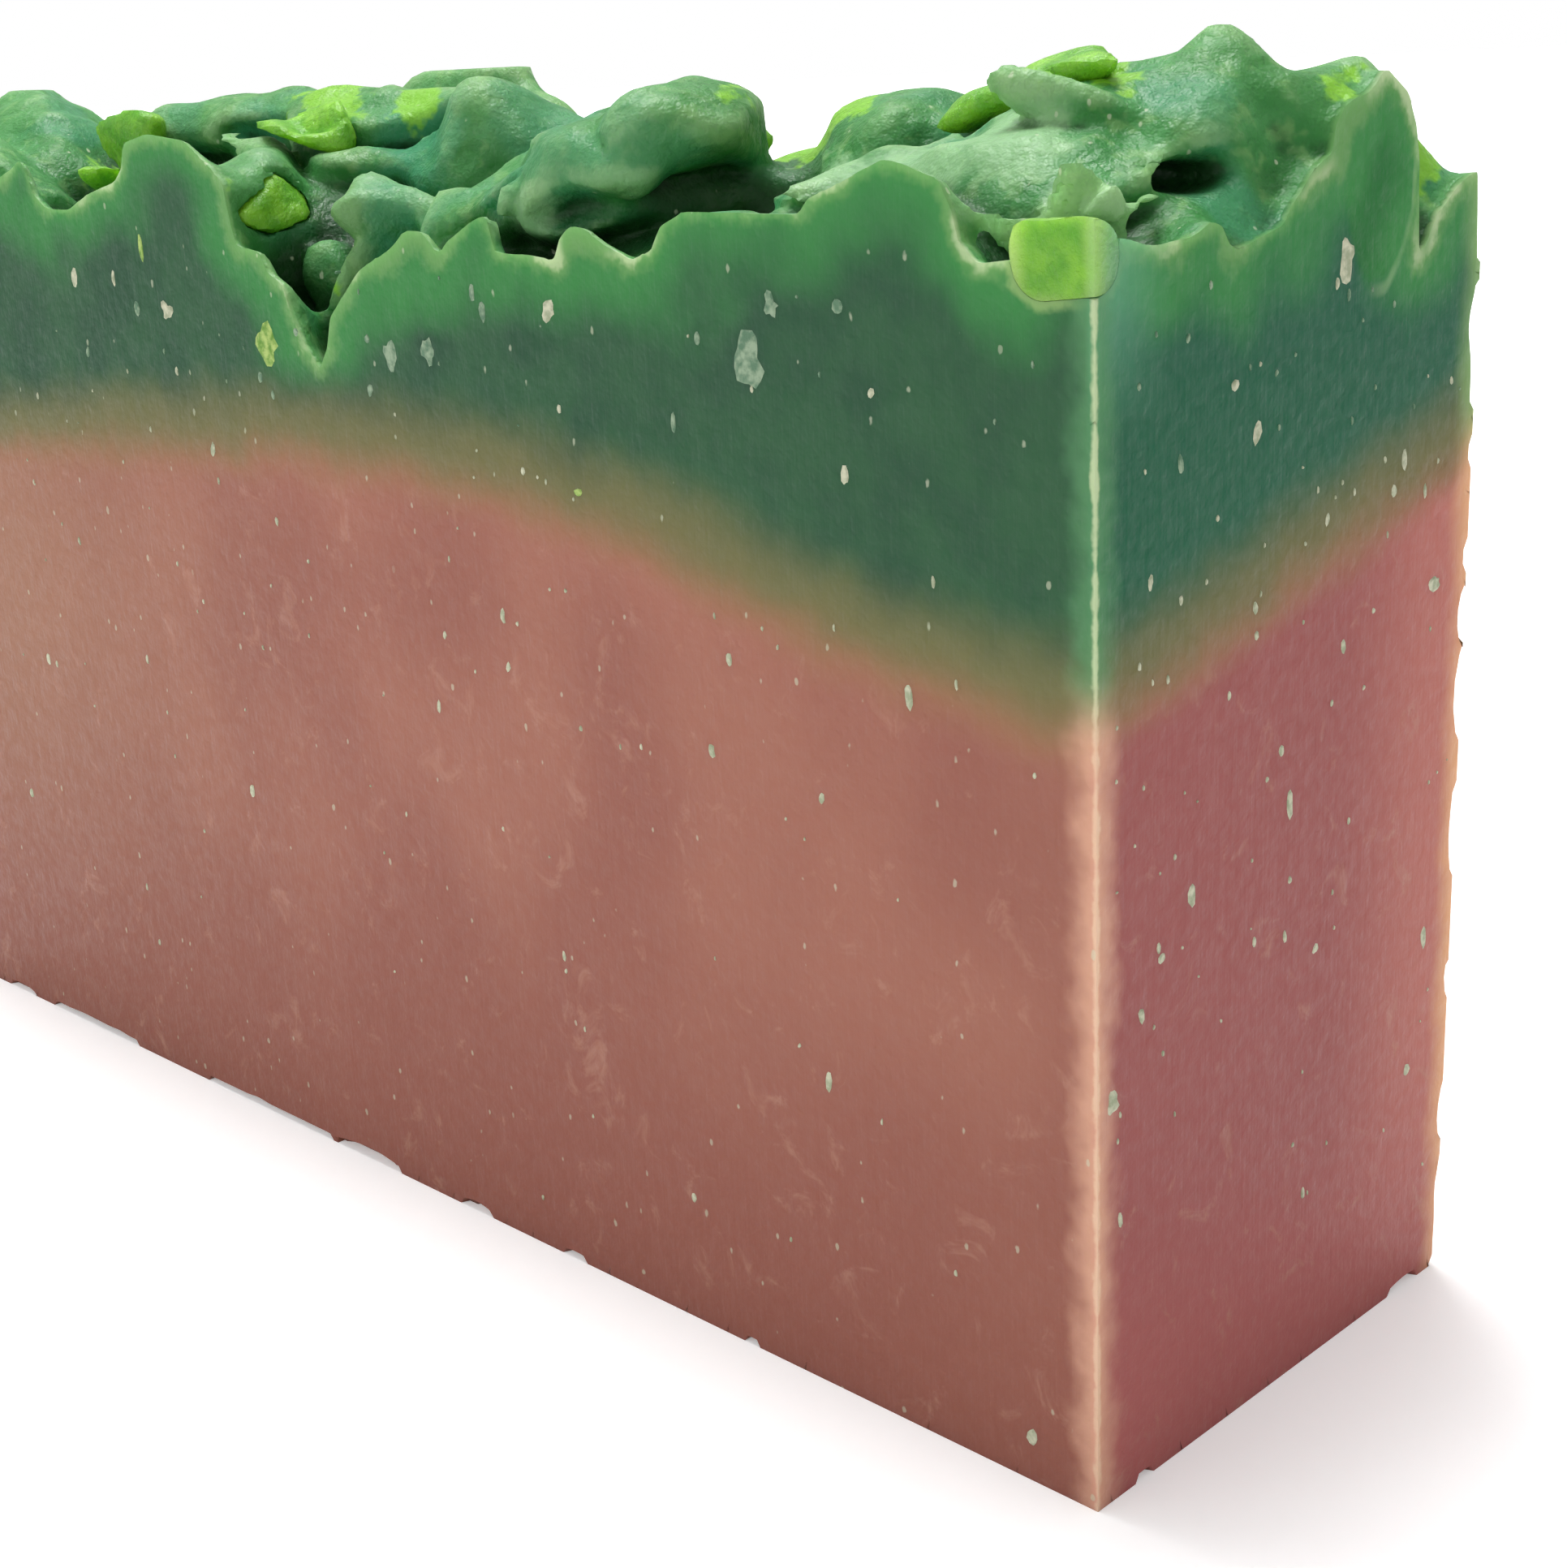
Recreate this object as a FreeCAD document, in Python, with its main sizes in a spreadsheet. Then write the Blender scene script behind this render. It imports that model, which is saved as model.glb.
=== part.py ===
import FreeCAD, Part
import os

# Bar of hand-made soap, cut from a slab with a knife.
# Two pours of soap lie on one another and hold small chunks of lime soap.
# The first pour fills the mould and sets with a gently tilted top.
# The second pour is spooned on in dollops, which gives the craggy crest.
# The knife then cuts every side flat, so the crest shows as a cut outline.
# Millimetres, Z up, X along the bar, the wide cut face looks towards -Y.

os.makedirs("parts", exist_ok=True)
doc = FreeCAD.newDocument("soap")

sheet = doc.addObject("Spreadsheet::Sheet", "sizes")
SIZES = {
    "length": 94.0,
    "thickness": 26.0,
    "height": 56.0,
    "fill": 46.0,
    "pour": 33.0,
    "pour_rise": 6.4,
    "spoon_length": 10.0,
    "spoon_width": 8.0,
    "spoon_depth": 8.0,
    "chunk": 3.0,
    "corner_chunk": 3.4,
}
for row, (name, value) in enumerate(SIZES.items(), start=1):
    sheet.set("A%d" % row, name)
    sheet.set("B%d" % row, str(value))
    sheet.setAlias("B%d" % row, name)
doc.recompute()


def bind(thing, **rules):
    """Ties properties of an object to the sheet; a double underscore stands for a dot."""
    for prop, rule in rules.items():
        thing.setExpression(prop.replace("__", "."), rule)
    return thing


def place(thing, along, across, up):
    """Puts an object at shares of the length, the thickness and the height."""
    return bind(thing,
                Placement__Base__x="sizes.length * %s" % along,
                Placement__Base__y="sizes.thickness * %s" % across,
                Placement__Base__z="sizes.height * %s" % up)


def lump(name, along, across, up, long, wide, deep, unit, turn=0.0, rise=0.0, roll=0.0):
    """A rounded lump: half sizes in spoon sizes or chunk sizes, then its turn and tilts in degrees."""
    units = ["sizes.chunk"] * 3
    if unit == "spoon":
        units = ["sizes.spoon_length", "sizes.spoon_width", "sizes.spoon_depth"]
    body = doc.addObject("Part::Ellipsoid", name)
    bind(body,
         Radius2="%s * %s" % (units[0], long),
         Radius3="%s * %s" % (units[1], wide),
         Radius1="%s * %s" % (units[2], deep))
    body.Placement = FreeCAD.Placement(FreeCAD.Vector(), FreeCAD.Rotation(turn, -rise, roll))
    return place(body, along, across, up)


# The knife: one block, whose sides are the cut faces of the bar.
knife = doc.addObject("Part::Box", "knife_block")
bind(knife, Length="sizes.length", Width="sizes.thickness", Height="sizes.height * 1.2",
     Placement__Base__x="-sizes.length / 2", Placement__Base__y="-sizes.thickness / 2")


def trim(thing, name):
    """Cuts an object off at the faces of the knife block."""
    cut = doc.addObject("Part::Common", name)
    cut.Base = thing
    cut.Tool = knife
    cut.Label = name
    return cut


# The top of the first pour, seen as a line on the front face and one on the back face.
# Each pair is a share of the length and a share of the rise above the lowest point.
FRONT_LINE = [(-0.56, 0.45), (-0.33, 0.72), (-0.18, 0.9), (-0.06, 0.98), (0.05, 1.0),
              (0.15, 0.92), (0.26, 0.69), (0.36, 0.31), (0.44, 0.09), (0.5, 0.0), (0.56, -0.1)]
BACK_LINE = [(-0.56, 0.7), (-0.36, 0.55), (-0.16, 0.78), (0.04, 1.05), (0.22, 1.0),
             (0.38, 0.88), (0.5, 1.0), (0.56, 1.08)]


def pour_profile(line, across):
    """The closed outline of the first pour on one plane across the bar."""
    points = [FreeCAD.Vector(sheet.length * along, sheet.thickness * across,
                             sheet.pour + sheet.pour_rise * rise) for along, rise in line]
    curve = Part.BSplineCurve()
    curve.interpolate(points)
    low = [FreeCAD.Vector(end.x, end.y, -sheet.height * 0.1) for end in (points[-1], points[0])]
    sides = Part.makePolygon([points[-1], low[0], low[1], points[0]])
    return Part.Wire([curve.toShape()] + sides.Edges)


pour = doc.addObject("Part::Feature", "first_pour")
pour.Shape = Part.makeLoft([pour_profile(FRONT_LINE, -0.5), pour_profile(BACK_LINE, 0.5)], True, True)

pink_base = trim(pour, "pink_base")

# The second pour: a level bed under the dollops.
bed = doc.addObject("Part::Box", "level_bed")
bind(bed, Length="sizes.length", Width="sizes.thickness", Height="sizes.fill",
     Placement__Base__x="-sizes.length / 2", Placement__Base__y="-sizes.thickness / 2")

# Dollops: name, share along, across and up, half sizes in spoon sizes, then turn, rise and roll.
# No two are turned alike, as each one fell from the spoon by itself.
DOLLOPS = [
    ("front_far", -0.33, -0.42, 0.777, 0.85, 1.1, 1.02, -9, 0, -3),
    ("front_left", -0.213, -0.27, 0.75, 0.9, 1.25, 1.05, 4, 0, 1),
    ("front_tooth", -0.109, -0.385, 0.804, 0.58, 0.7, 1.1, -6, -6, -2),
    ("notch_right", 0.083, -0.31, 0.723, 0.7, 1.1, 1.02, 11, 0, 3),
    ("front_saddle", 0.223, -0.19, 0.732, 0.95, 1.35, 1.04, -5, 0, 2),
    ("front_mound", 0.319, -0.31, 0.732, 0.82, 1.1, 1.2, 8, 0, -3),
    ("front_crown", 0.398, -0.4, 0.777, 0.5, 0.7, 1.02, -12, 8, 1),
    ("near_corner", 0.457, -0.19, 0.732, 0.95, 1.25, 1.06, 5, 0, -2),
    ("end_fin", 0.487, 0.177, 0.875, 0.4, 0.38, 0.56, -8, 0, 3),
    ("end_back", 0.457, 0.43, 0.741, 0.8, 0.55, 1.02, 9, 0, 2),
    ("dome", 0.434, 0.008, 0.896, 0.56, 0.7, 0.6, -4, -6, -3),
    ("long_fold", 0.399, -0.223, 0.88, 0.85, 0.42, 0.32, 8, 4, 1),
    ("lime_ridge", 0.362, 0.038, 0.889, 0.8, 0.5, 0.49, -11, 12, -2),
    ("middle_lump", 0.295, -0.023, 0.879, 0.5, 0.62, 0.51, 3, 0, 3),
    ("valley_lump", 0.231, 0.0, 0.864, 0.5, 0.56, 0.45, -7, 10, 2),
    ("great_fold", 0.157, -0.169, 0.886, 0.84, 0.7, 0.59, 10, 4, -3),
    ("great_fold_nose", 0.232, -0.223, 0.929, 0.26, 0.45, 0.29, -3, 0, 1),
    ("ramp", 0.101, -0.288, 0.861, 0.65, 0.4, 0.45, 12, 24, -2),
    ("far_crown", -0.213, 0.019, 0.889, 1.4, 0.75, 0.7, -10, 2, 3),
    ("slope", -0.032, -0.058, 0.825, 1.0, 0.88, 0.78, 7, -12, 2),
    ("notch_block", 0.011, -0.285, 0.821, 0.42, 0.55, 0.48, -9, 0, -3),
    ("far_left", -0.415, -0.154, 0.85, 1.0, 0.88, 0.9, 4, 0, 1),
    ("back_left", -0.351, 0.308, 0.768, 1.2, 1.0, 1.12, -6, 0, -2),
    ("back_slope", -0.149, 0.346, 0.777, 1.1, 0.88, 1.12, 11, 0, 3),
    ("back_middle", 0.011, 0.308, 0.768, 0.9, 1.0, 1.0, -5, 0, 2),
    ("back_dip", 0.17, 0.308, 0.75, 1.0, 1.0, 1.02, 8, 0, -3),
    ("back_right", 0.34, 0.327, 0.759, 1.0, 0.88, 1.12, -12, 0, 1),
]
dollops = [trim(lump(row[0], *row[1:7], "spoon", *row[7:]), row[0] + "_cut") for row in DOLLOPS]

# Hollows that the spoon left: the notch in the front, the crack in the end and dark pockets under folds.
HOLLOWS = [
    ("front_notch", 0.014, -0.5, 0.842, 0.22, 0.7, 0.66, 0, 0, 0),
    ("end_crack", 0.5, 0.27, 0.853, 0.35, 0.13, 0.54, 0, 0, 8),
    ("fold_pocket", 0.165, -0.4, 0.855, 0.5, 0.3, 0.21, 0, 8, 0),
    ("dome_pocket", 0.45, -0.15, 0.895, 0.35, 0.26, 0.16, 0, 0, 0),
    ("crown_pocket", -0.16, -0.19, 0.93, 0.36, 0.3, 0.22, 0, -14, 0),
]
hollows = [lump(*row[:7], "spoon", *row[7:]) for row in HOLLOWS]

# Chunks of lime soap pressed in before the top set: the corner one was cut square, the rest are rounded.
CHUNKS = [
    ("lime_chunk_left", -0.259, -0.27, 0.929, 1.05, 1.0, 0.8, 0, 0, 0),
    ("lime_chunk_crown", -0.094, -0.18, 0.95, 0.97, 0.77, 0.7, 0, -10, 0),
    ("lime_chunk_middle", -0.068, -0.35, 0.875, 0.8, 0.72, 0.5, 0, 0, 0),
    ("lime_chunk_valley", 0.215, -0.12, 0.916, 0.75, 0.65, 0.42, 0, 0, 0),
    ("lime_chunk_ridge", 0.395, -0.04, 0.948, 1.3, 0.85, 0.42, 0, 12, 0),
]
chunks = [trim(lump(row[0] + "_form", *row[1:7], "chunk", *row[7:]), row[0]) for row in CHUNKS]

corner_form = doc.addObject("Part::Box", "lime_chunk_corner_form")
bind(corner_form,
     Length="sizes.corner_chunk * 2", Width="sizes.corner_chunk * 1.6", Height="sizes.corner_chunk * 0.85",
     Placement__Base__x="sizes.length / 2 - sizes.corner_chunk",
     Placement__Base__y="-sizes.thickness / 2 - sizes.corner_chunk * 0.8",
     Placement__Base__z="sizes.height * 0.828")
chunks.append(trim(corner_form, "lime_chunk_corner"))

heap = doc.addObject("Part::MultiFuse", "spooned_heap")
heap.Shapes = [bed] + dollops

# The first pour is taken out of the heap first, then each hollow and the seat of each chunk in turn.
green_top = heap
for number, tool in enumerate([pour] + hollows + chunks):
    step = doc.addObject("Part::Cut", "heap_cut_%d" % number)
    step.Base = green_top
    step.Tool = tool
    green_top = step
green_top.Label = "green_top"

for thing in doc.Objects:
    if hasattr(thing, "Refine"):
        thing.Refine = False
doc.recompute()
for thing in doc.Objects:
    if "Invalid" in thing.State or "Error" in thing.State:
        raise RuntimeError("did not build: " + thing.Label)
    if hasattr(thing, "Shape") and (thing.Shape.isNull() or not thing.Shape.isValid()):
        raise RuntimeError("bad shape: " + thing.Label)

for node in [pink_base, green_top] + chunks:
    shape = node.Shape
    box = shape.BoundBox
    print(node.Label, len(shape.Solids), "solid", round(shape.Volume), "mm3",
          "z", round(box.ZMin, 2), round(box.ZMax, 2))
    shape.exportStep("parts/%s.step" % node.Label)
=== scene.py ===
# %% [markdown]
# # A bar of hand-made soap
#
# One knife-cut slice of two-layer soap: a dusty-pink pour below, a green pour spooned on top.
# The CAD frame gives the block, the line between the pours and the place of every dollop and chunk.
# This script remakes them with their real folds, cut edges and waxy, light-soaked surface.
# All sizes below are millimetres in the row frame, and are turned into metres when a mesh is made.

import math
from types import SimpleNamespace

import bmesh
import bpy
import numpy as np
from mathutils import Matrix, Vector


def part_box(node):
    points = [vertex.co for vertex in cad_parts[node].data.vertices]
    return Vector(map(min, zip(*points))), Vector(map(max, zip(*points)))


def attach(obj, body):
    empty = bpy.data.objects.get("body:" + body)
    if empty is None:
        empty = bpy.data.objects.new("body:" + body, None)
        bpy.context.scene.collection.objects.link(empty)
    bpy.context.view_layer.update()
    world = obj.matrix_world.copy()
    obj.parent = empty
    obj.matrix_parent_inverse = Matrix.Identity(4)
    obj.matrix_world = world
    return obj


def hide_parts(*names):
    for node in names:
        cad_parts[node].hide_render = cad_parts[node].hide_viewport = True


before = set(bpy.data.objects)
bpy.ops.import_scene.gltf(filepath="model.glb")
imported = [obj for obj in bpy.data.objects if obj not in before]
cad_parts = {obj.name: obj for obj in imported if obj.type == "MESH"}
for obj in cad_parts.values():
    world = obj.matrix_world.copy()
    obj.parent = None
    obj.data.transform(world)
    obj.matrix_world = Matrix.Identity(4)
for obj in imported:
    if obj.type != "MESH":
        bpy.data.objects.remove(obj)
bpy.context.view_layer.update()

base_low, base_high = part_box("pink_base")
LENGTH = 1000 * (base_high.x - base_low.x)
THICK = 1000 * (base_high.y - base_low.y)
MM = LENGTH / 94.0
HIGH = 56.0 * MM
print("bar", round(LENGTH, 2), "x", round(THICK, 2), "mm")

# %% [markdown]
# ## Smooth random fields
#
# Soft soap never sets in clean ovals: each spoonful slumps and drags its neighbours along.
# A cubic B-spline through random lattice values gives a field without grid marks.
# It is worked out per axis as a small matrix, so a whole block of space costs three products.

# %% Random fields on a block of grid lines
def spline_weights(lines, cell, count):
    """Weights of each lattice value for each grid line: the four cubic B-spline pieces of (line / cell)."""
    where = (lines - lines[0]) / cell + 1.0
    first = np.floor(where).astype(int)
    t = where - first
    pieces = [(1 - t) ** 3 / 6, (3 * t ** 3 - 6 * t ** 2 + 4) / 6,
              (-3 * t ** 3 + 3 * t ** 2 + 3 * t + 1) / 6, t ** 3 / 6]
    matrix = np.zeros((len(lines), count), np.float32)
    for step, piece in enumerate(pieces):
        matrix[np.arange(len(lines)), first - 1 + step] = piece
    return matrix


def random_field(grid, cell, seed):
    """A smooth random field of about -1 to 1 on the grid, whose lumps are about one cell across."""
    rng = np.random.default_rng(seed)
    counts = [int((lines[-1] - lines[0]) / cell) + 5 for lines in grid]
    lattice = rng.uniform(-1, 1, counts).astype(np.float32)
    wx, wy, wz = (spline_weights(lines, cell, count) for lines, count in zip(grid, counts))
    field = np.tensordot(wx, lattice, (1, 0))
    field = np.tensordot(wy, field, (1, 1)).transpose(1, 0, 2)
    return 2.2 * np.tensordot(field, wz, (2, 1))


# %% [markdown]
# ## The crest as a field of depth
#
# The second pour is a heap of dollops on a bed, so its shape is their union.
# Each dollop is an oval whose signed distance is estimated from its own scaled radius.
# A smooth union lets neighbours weld with a crease, as soft soap does, and hollows are taken out.
# Near the two cut faces in the photo the field is led to the outline that the knife left there.

# %% The dollops, hollows and chunks
# Each row holds the middle in shares of length, thickness and height, then the half sizes in
# millimetres, then the turn, rise and roll in degrees where there are any.
DOLLOPS = {
    "front_far": (-0.33, -0.42, 0.777, 8.5, 8.8, 8.2),
    "front_left": (-0.213, -0.27, 0.75, 9.0, 10.0, 8.4),
    "front_tooth": (-0.109, -0.385, 0.804, 5.8, 5.6, 8.8, 0, -6, 0),
    "notch_right": (0.083, -0.31, 0.723, 7.0, 8.8, 8.2),
    "front_saddle": (0.223, -0.19, 0.732, 9.5, 10.8, 8.3),
    "front_mound": (0.319, -0.31, 0.732, 8.2, 8.8, 9.6),
    "front_crown": (0.398, -0.4, 0.777, 5.0, 5.6, 8.2, 0, 8, 0),
    "near_corner": (0.457, -0.19, 0.732, 9.5, 10.0, 8.5),
    "end_fin": (0.487, 0.177, 0.875, 4.0, 3.0, 4.5),
    "end_back": (0.457, 0.43, 0.741, 8.0, 4.4, 8.2),
    "dome": (0.434, 0.008, 0.892, 5.8, 5.6, 4.6, 0, -6, 0),
    "long_fold": (0.399, -0.223, 0.88, 8.5, 3.4, 2.5, 8, 4, 0),
    "lime_ridge": (0.362, 0.038, 0.889, 8.0, 4.0, 3.9, 0, 12, 0),
    "middle_lump": (0.295, -0.023, 0.879, 5.0, 5.0, 4.1),
    "valley_lump": (0.231, 0.0, 0.864, 5.0, 4.5, 3.6, 0, 10, 0),
    "great_fold": (0.157, -0.169, 0.886, 8.4, 5.6, 4.7, 0, 4, 0),
    "great_fold_nose": (0.232, -0.223, 0.929, 2.6, 3.6, 2.3),
    "ramp": (0.101, -0.288, 0.861, 6.5, 3.2, 3.6, 0, 24, 0),
    "far_crown": (-0.213, 0.019, 0.866, 14.0, 6.0, 5.6, 0, 2, 0),
    "crown_slab": (-0.181, -0.058, 0.944, 15.0, 4.6, 2.4),
    "middle_ridge": (0.021, 0.038, 0.884, 7.0, 4.0, 4.3, 0, 6, 0),
    "slope": (-0.032, -0.058, 0.825, 10.0, 7.0, 6.2, 0, -12, 0),
    "notch_block": (0.011, -0.285, 0.821, 4.2, 4.4, 3.8),
    "far_left": (-0.415, -0.154, 0.85, 10.0, 7.0, 7.2),
    "back_left": (-0.351, 0.308, 0.768, 12.0, 8.0, 9.0),
    "back_slope": (-0.149, 0.346, 0.777, 11.0, 7.0, 9.0),
    "back_middle": (0.011, 0.308, 0.768, 9.0, 8.0, 8.0),
    "back_dip": (0.17, 0.308, 0.75, 10.0, 8.0, 8.2),
    "back_right": (0.34, 0.327, 0.759, 10.0, 7.0, 9.0),
}
HOLLOWS = {
    "front_notch": (0.014, -0.5, 0.842, 2.2, 5.6, 5.3),
    "end_crack": (0.5, 0.27, 0.853, 3.5, 1.0, 4.3, 0, 0, 8),
    "fold_pocket": (0.205, -0.42, 0.876, 4.6, 2.4, 1.2, 0, 6, 0),
    "dome_pocket": (0.472, -0.165, 0.889, 3.1, 1.8, 0.65),
    "crown_pocket": (-0.165, -0.22, 0.932, 4.4, 3.0, 1.7, 0, -8, 0),
    "left_valley": (-0.272, -0.42, 0.915, 5.5, 1.8, 1.5),
}
CHUNKS = {
    "lime_chunk_left": (-0.259, -0.27, 0.929, 3.15, 3.0, 2.4),
    "lime_chunk_crown": (-0.094, -0.18, 0.95, 2.9, 2.3, 2.1, 0, -10, 0),
    "lime_chunk_middle": (-0.068, -0.35, 0.875, 2.4, 2.2, 1.5),
    "lime_chunk_valley": (0.215, -0.12, 0.916, 2.25, 1.95, 1.3),
    "lime_chunk_ridge": (0.383, -0.085, 0.951, 5.2, 1.9, 1.25, 4, 12, 10),
}
# Thin lips, curls and torn shards that stand out in the photo.
LIPS = {
    "corner_shard": (0.464, -0.385, 0.868, 1.9, 0.6, 3.0, 48, 0, 14),
    "corner_shard_low": (0.446, -0.39, 0.858, 1.7, 0.5, 2.2, 48, -34, 10),
    "dome_sweep": (0.437, -0.12, 0.925, 4.0, 1.0, 1.5, 34, -22, 24),
    "dome_sweep_low": (0.463, -0.06, 0.908, 3.4, 0.9, 1.3, 50, -30, 16),
    "dome_brow": (0.40, 0.0, 0.946, 4.2, 1.6, 1.2, 6, 8, 10),
    "lime_nub": (-0.103, -0.345, 0.862, 2.2, 1.3, 1.4, 10, -28, 0),
    "corner_curl": (0.483, -0.37, 0.880, 1.3, 0.8, 1.3, -30, 10, 0),
    "yellow_curl": (0.468, -0.23, 0.899, 1.4, 0.9, 0.8, 20, 0, 20),
    "dome_plate": (0.415, -0.09, 0.925, 3.4, 2.2, 2.0, 0, -10, 0),
    "fold_lobe": (0.195, -0.34, 0.909, 4.4, 2.0, 1.6, 6, -4, 0),
    "ramp_blade": (0.085, -0.36, 0.868, 6.0, 1.1, 1.7, 0, 28, 20),
    "slope_stroke_1": (-0.03, -0.16, 0.915, 6.5, 1.3, 1.0, 14, -8, 24),
    "slope_stroke_2": (0.0, -0.10, 0.918, 6.5, 1.2, 1.0, 14, -4, 24),
    "teal_block": (0.008, -0.285, 0.879, 3.0, 2.3, 1.8, 10, -6, 10),
    "notch_crumble": (-0.042, -0.35, 0.832, 2.4, 2.0, 2.2, 0, 10, 0),
    "tooth_shell": (-0.125, -0.27, 0.913, 5.0, 1.6, 2.6, -24, -16, 0),
}
BED = 46.0 * MM
print(len(DOLLOPS), "dollops,", len(HOLLOWS), "hollows,", len(CHUNKS), "rounded chunks")

# %% The cut outlines that the knife left
FRONT_OUTLINE = np.array([
    (-47.0, 47.6), (-43.5, 49.8), (-38.5, 51.2), (-33.0, 50.0), (-29.5, 50.2), (-27.0, 50.7),
    (-24.6, 51.6), (-23.7, 49.8), (-22.5, 49.1), (-20.1, 49.1), (-17.6, 49.9), (-15.2, 50.5),
    (-14.3, 51.1), (-13.8, 52.4), (-11.5, 52.7), (-8.4, 52.5), (-6.2, 51.3), (-5.0, 50.3), (-4.7, 48.2),
    (-4.4, 47.4), (-2.6, 47.3), (-2.0, 46.3), (-0.8, 45.7), (-0.3, 44.4), (0.5, 43.0), (1.6, 41.9),
    (2.3, 42.8), (2.8, 44.3), (3.6, 45.1), (5.5, 46.6), (7.4, 47.3), (9.2, 48.3), (10.3, 48.3),
    (11.5, 47.4), (12.1, 48.0), (13.2, 48.5), (15.0, 49.1), (15.4, 47.5), (17.2, 47.5), (19.2, 47.3),
    (19.7, 48.2), (20.4, 48.7), (21.2, 48.6), (22.4, 48.0), (24.0, 47.4), (25.2, 47.8), (25.9, 48.8),
    (27.2, 49.3), (29.5, 49.3), (33.4, 49.2), (33.9, 49.8), (35.2, 50.3), (36.5, 50.9), (37.6, 51.2),
    (38.7, 51.0), (40.2, 50.5), (40.8, 49.5), (41.0, 48.4), (41.9, 47.7), (43.2, 47.8), (43.9, 48.8),
    (47.0, 49.2)])
END_OUTLINE = np.array([
    (-13.0, 49.0), (-11.5, 48.5), (-10.0, 48.2), (-7.5, 48.2), (-6.3, 48.7), (-5.6, 48.5), (-5.1, 47.7),
    (-4.6, 47.5), (-3.0, 47.9), (-1.7, 48.2), (-1.0, 49.0), (0.1, 49.9), (1.5, 50.5), (1.7, 51.5),
    (2.4, 52.2), (3.9, 52.6), (5.1, 53.4), (6.8, 52.5), (7.5, 51.3), (7.8, 49.8), (7.9, 47.0),
    (8.0, 46.2), (8.4, 46.5), (9.3, 47.8), (11.1, 48.9), (12.3, 49.3), (13.0, 48.8)])


def outline_field(across, up, outline):
    """Signed distance to a cut outline on its own plane: the nearest of its segments, negative below."""
    line = outline * MM
    spot = np.stack(np.meshgrid(across, up, indexing="ij"), -1)
    nearest = np.full(spot.shape[:2], 1e3)
    for start, end in zip(line[:-1], line[1:]):
        way = end - start
        share = np.clip(((spot - start) @ way) / (way @ way), 0, 1)
        nearest = np.minimum(nearest, np.linalg.norm(spot - start - share[..., None] * way, axis=-1))
    above = spot[..., 1] > np.interp(across, line[:, 0], line[:, 1])[:, None]
    return np.where(above, nearest, -nearest).astype(np.float32)


# %% Field helpers
def turned(turn, rise, roll):
    """The turn about Z, then the rise of the +X end, then the roll about the long way, as one matrix."""
    t, p, r = np.radians((turn, rise, roll))
    about_z = np.array([[np.cos(t), -np.sin(t), 0], [np.sin(t), np.cos(t), 0], [0, 0, 1]])
    about_y = np.array([[np.cos(p), 0, -np.sin(p)], [0, 1, 0], [np.sin(p), 0, np.cos(p)]])
    about_x = np.array([[1, 0, 0], [0, np.cos(r), -np.sin(r)], [0, np.sin(r), np.cos(r)]])
    return about_z @ about_y @ about_x


def oval(space, along, across, up, long, wide, deep, turn=0, rise=0, roll=0, seed=None, blunt=0.8):
    """Signed distance to an oval: k0 * (r - 1) / k1, with k0 the scaled radius and k1 its gradient's length.

    A seed gives the oval soft facets, as torn soap has: r is then the 10-norm of max(0, s . n / c) over
    random directions n and heights c from blunt to about 1. With no seed r is k0 and the oval stays round.
    """
    centre = (along * LENGTH, across * THICK, up * HIGH)
    axes = turned(turn, rise, roll)
    half = np.array((long, wide, deep)) * MM
    shift = [part - middle for part, middle in zip(space, centre)]
    local = [sum(axes[row, col] * shift[row] for row in range(3)) for col in range(3)]
    scaled = sum((part / size) ** 2 for part, size in zip(local, half))
    steep = sum((part / size ** 2) ** 2 for part, size in zip(local, half))
    round_radius = np.sqrt(scaled)
    radius = round_radius
    if seed is not None:
        rng = np.random.default_rng(seed)
        total = 0
        for normal, height in zip(rng.normal(size=(20, 3)), rng.uniform(blunt, 1.02, 20)):
            way = normal / np.linalg.norm(normal) / height
            reach = np.maximum(sum(np.float32(k) * part / np.float32(size)
                                   for k, part, size in zip(way, local, half)), 0) ** 2
            total = total + (reach * reach) ** 2 * reach
        radius = np.maximum(total ** 0.1, 0.7 * round_radius)
    return round_radius * (radius - 1) / np.sqrt(steep + 1e-9)


def reached(shape_values, reach):
    """The block of grid cells that an oval can change, as slices."""
    centre = np.array(shape_values[:3]) * (LENGTH, THICK, HIGH)
    size = max(shape_values[3:6]) * MM + reach
    spans = [np.searchsorted(lines, (middle - size, middle + size)) for lines, middle in zip(grid, centre)]
    return tuple(slice(low, max(high, low + 1)) for low, high in spans)


def add_oval(field, shape_values, width, seed):
    """Welds a faceted oval into the field where it reaches."""
    part = reached(shape_values, 3.5 * MM)
    if field[part].size:
        field[part] = weld(field[part], oval([way[part] for way in space], *shape_values, seed=seed), width)


def weld(a, b, width):
    """Smooth union of two fields: the lower one, rounded where they are within the weld's width."""
    mix = np.clip(0.5 + 0.5 * (b - a) / width, 0, 1)
    return b * (1 - mix) + a * mix - width * mix * (1 - mix)


# %% [markdown]
# ## From field to skin
#
# The skin is where the field is zero: each grid cell that it passes gets one corner point.
# Points in cells on the knife's planes are moved onto the plane, and then along it onto the crest.
# That keeps the cut edges crisp, which an ordinary rounded skin would lose.
# Grid lines lie closer near the corner that faces the viewer, where a millimetre is large.

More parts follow.
